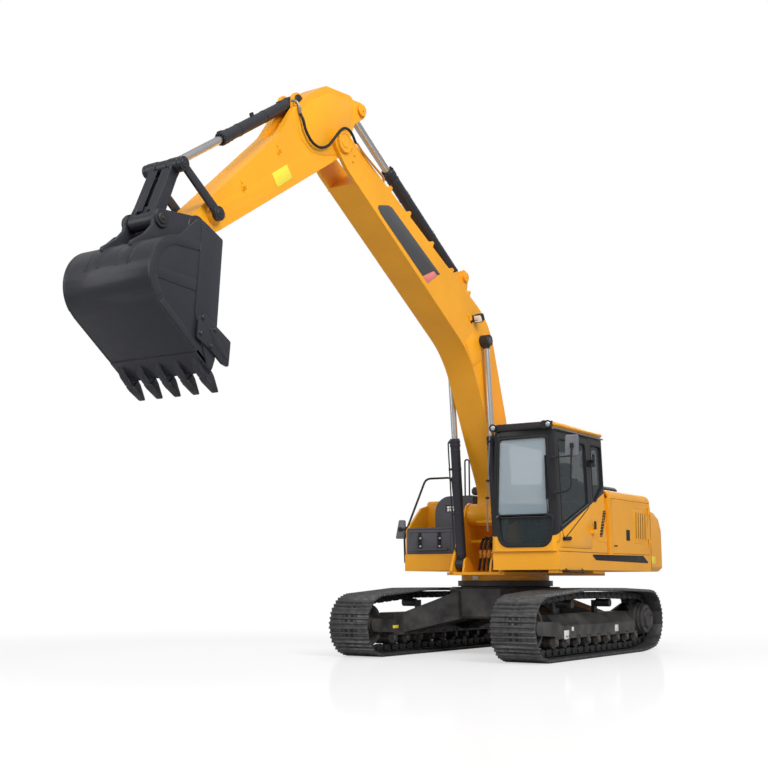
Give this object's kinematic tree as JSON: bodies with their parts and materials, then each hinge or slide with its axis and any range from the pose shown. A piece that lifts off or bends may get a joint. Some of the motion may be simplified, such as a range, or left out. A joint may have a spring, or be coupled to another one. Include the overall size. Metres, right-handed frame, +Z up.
{
  "type": "crawler excavator",
  "caption": "Crawler excavator with steel tracks, slewing house and cab, bent boom, arm, bucket and their cylinders; doors, hood and tool box lid open.",
  "frame": {"origin": "centre of the bounding box's underside, on the ground under the machine at rest", "axes": "+X forward along the boom, +Y to the operator's left, +Z up"},
  "size_m": [10.5448, 3.31, 6.6643],
  "materials": {
    "orange_paint": "smooth paint",
    "charcoal_paint": "satin paint",
    "slate_paint": "satin paint",
    "black_paint": "matt paint",
    "track_steel": "worn steel",
    "chrome": "polished",
    "grey_plastic": "grained",
    "black_plastic": "grained",
    "glass": "clear",
    "seat_cloth": "woven"
  },
  "bodies": {
    "undercarriage": {"carbody": "black_paint", "track_frame_left": "black_paint", "track_frame_right": "black_paint", "track_left": "track_steel", "track_right": "track_steel", "idler_left": "black_paint", "idler_right": "black_paint", "sprocket_left": "black_paint", "sprocket_right": "black_paint"},
    "house": {"revolving_frame": "orange_paint", "counterweight": "orange_paint", "cab_shell": "charcoal_paint", "cab_roof": "orange_paint", "cab_visor": "black_paint", "windscreen_upper": "glass", "windscreen_lower": "glass", "glass_side_rear": "glass", "glass_right": "glass", "glass_rear": "glass", "seat": "seat_cloth", "console_left": "black_plastic", "console_right": "black_plastic", "travel_pedals": "black_plastic", "body_frame": "orange_paint", "exhaust": "black_paint", "engine_block": "slate_paint", "fuel_tank": "orange_paint", "tool_box": "grey_plastic", "lamp_fairing": "grey_plastic", "handrail": "black_paint", "mirror_right": "black_plastic", "mirror_left": "black_plastic"},
    "cab_door": {"cab_door": "charcoal_paint", "cab_door_glass": "glass"},
    "engine_hood": {"engine_hood": "charcoal_paint"},
    "side_door_left": {"side_door_left": "orange_paint"},
    "side_door_right": {"side_door_right": "orange_paint"},
    "tool_box_lid": {"tool_box_lid": "grey_plastic"},
    "boom": {"boom": "orange_paint"},
    "boom_cylinder_left_barrel": {"boom_cylinder_left_barrel": "slate_paint"},
    "boom_cylinder_left_rod": {"boom_cylinder_left_rod": "chrome"},
    "boom_cylinder_right_barrel": {"boom_cylinder_right_barrel": "slate_paint"},
    "boom_cylinder_right_rod": {"boom_cylinder_right_rod": "chrome"},
    "arm": {"arm": "orange_paint"},
    "arm_cylinder_barrel": {"arm_cylinder_barrel": "slate_paint"},
    "arm_cylinder_rod": {"arm_cylinder_rod": "chrome"},
    "rocker": {"rocker_left": "slate_paint", "rocker_right": "slate_paint"},
    "h_link": {"h_link": "slate_paint"},
    "bucket_cylinder_barrel": {"bucket_cylinder_barrel": "slate_paint"},
    "bucket_cylinder_rod": {"bucket_cylinder_rod": "chrome"},
    "bucket": {"bucket": "slate_paint"}
  },
  "joints": [
    {"name": "slew", "type": "hinge", "parent": "undercarriage", "child": "house", "pos_m": [-2.442, 0, 1], "axis": [0, 0, 1], "continuous": true},
    {"name": "boom_lift", "type": "hinge", "parent": "house", "child": "boom", "pos_m": [-2.132, 0, 1.895], "axis": [0, -1, 0], "range_deg": [-90, 17]},
    {"name": "boom_cylinder_left_tilt", "type": "hinge", "parent": "house", "child": "boom_cylinder_left_barrel", "pos_m": [-1.722, 0.286, 1.21], "axis": [0, -1, 0], "range_deg": [-81.41, 15.78]},
    {"name": "boom_cylinder_left_stroke", "type": "slide", "parent": "boom_cylinder_left_barrel", "child": "boom_cylinder_left_rod", "axis": [0.0947, 0, 0.9955], "range_m": [-1.06, 0.2043]},
    {"name": "boom_cylinder_right_tilt", "type": "hinge", "parent": "house", "child": "boom_cylinder_right_barrel", "pos_m": [-1.722, -0.286, 1.21], "axis": [0, -1, 0], "range_deg": [-81.41, 15.78]},
    {"name": "boom_cylinder_right_stroke", "type": "slide", "parent": "boom_cylinder_right_barrel", "child": "boom_cylinder_right_rod", "axis": [0.0947, 0, 0.9955], "range_m": [-1.06, 0.2043]},
    {"name": "arm_swing", "type": "hinge", "parent": "boom", "child": "arm", "pos_m": [1.84145, 0, 6.00962], "axis": [0, 1, 0], "range_deg": [-54, 60]},
    {"name": "arm_cylinder_tilt", "type": "hinge", "parent": "boom", "child": "arm_cylinder_barrel", "pos_m": [-1.15457, 0, 5.05209], "axis": [0, -1, 0], "range_deg": [-1.43, 1.53]},
    {"name": "arm_cylinder_stroke", "type": "slide", "parent": "arm_cylinder_barrel", "child": "arm_cylinder_rod", "axis": [0.8633, 0, 0.5047], "range_m": [-0.5417, 0.6013]},
    {"name": "bucket_curl", "type": "hinge", "parent": "arm", "child": "bucket", "pos_m": [4.29285, 0, 4.36855], "axis": [0, 1, 0], "range_deg": [-82, 93]},
    {"name": "rocker_swing", "type": "hinge", "parent": "arm", "child": "rocker", "pos_m": [4.01313, 0, 4.57987], "axis": [0, 1, 0], "range_deg": [-61.18, 69.32]},
    {"name": "link_swing", "type": "hinge", "parent": "rocker", "child": "h_link", "pos_m": [4.53967, 0, 4.94369], "axis": [0, 1, 0], "range_deg": [-15.38, 13.62]},
    {"name": "bucket_cylinder_tilt", "type": "hinge", "parent": "arm", "child": "bucket_cylinder_barrel", "pos_m": [2.57973, 0, 6.28556], "axis": [0, -1, 0], "range_deg": [-7.32, 6.51]},
    {"name": "bucket_cylinder_stroke", "type": "slide", "parent": "bucket_cylinder_barrel", "child": "bucket_cylinder_rod", "axis": [0.8251, 0, -0.5649], "range_m": [-0.555, 0.6288]},
    {"name": "cab_door_swing", "type": "hinge", "parent": "house", "child": "cab_door", "pos_m": [-2.427, 1.38, 1.9], "axis": [0, 0, 1], "range_deg": [0, 150]},
    {"name": "engine_hood_lift", "type": "hinge", "parent": "house", "child": "engine_hood", "pos_m": [-3.058, 0, 2.254], "axis": [0, 1, 0], "range_deg": [0, 75]},
    {"name": "side_door_left_swing", "type": "hinge", "parent": "house", "child": "side_door_left", "pos_m": [-4.433, 1.37, 1.7], "axis": [0, 0, 1], "range_deg": [0, 120]},
    {"name": "side_door_right_swing", "type": "hinge", "parent": "house", "child": "side_door_right", "pos_m": [-4.433, -1.37, 1.7], "axis": [0, 0, -1], "range_deg": [0, 120]},
    {"name": "tool_box_lid_lift", "type": "hinge", "parent": "house", "child": "tool_box_lid", "pos_m": [-2.337, 0, 1.712], "axis": [0, -1, 0], "range_deg": [0, 80]}
  ],
  "couplings": [
    {"joint": "boom_cylinder_left_tilt", "follows": "boom_lift", "ratio": 0.89903},
    {"joint": "boom_cylinder_left_stroke", "follows": "boom_lift", "m_per_rad": 0.67161},
    {"joint": "boom_cylinder_right_tilt", "follows": "boom_lift", "ratio": 0.89903},
    {"joint": "boom_cylinder_right_stroke", "follows": "boom_lift", "m_per_rad": 0.67161},
    {"joint": "arm_cylinder_tilt", "follows": "arm_swing", "ratio": 0.01715},
    {"joint": "arm_cylinder_stroke", "follows": "arm_swing", "m_per_rad": 0.56945},
    {"joint": "rocker_swing", "follows": "bucket_curl", "ratio": 0.74},
    {"joint": "link_swing", "follows": "bucket_curl", "ratio": -0.16},
    {"joint": "bucket_cylinder_tilt", "follows": "bucket_curl", "ratio": -0.07329},
    {"joint": "bucket_cylinder_stroke", "follows": "bucket_curl", "m_per_rad": 0.38433}
  ]
}
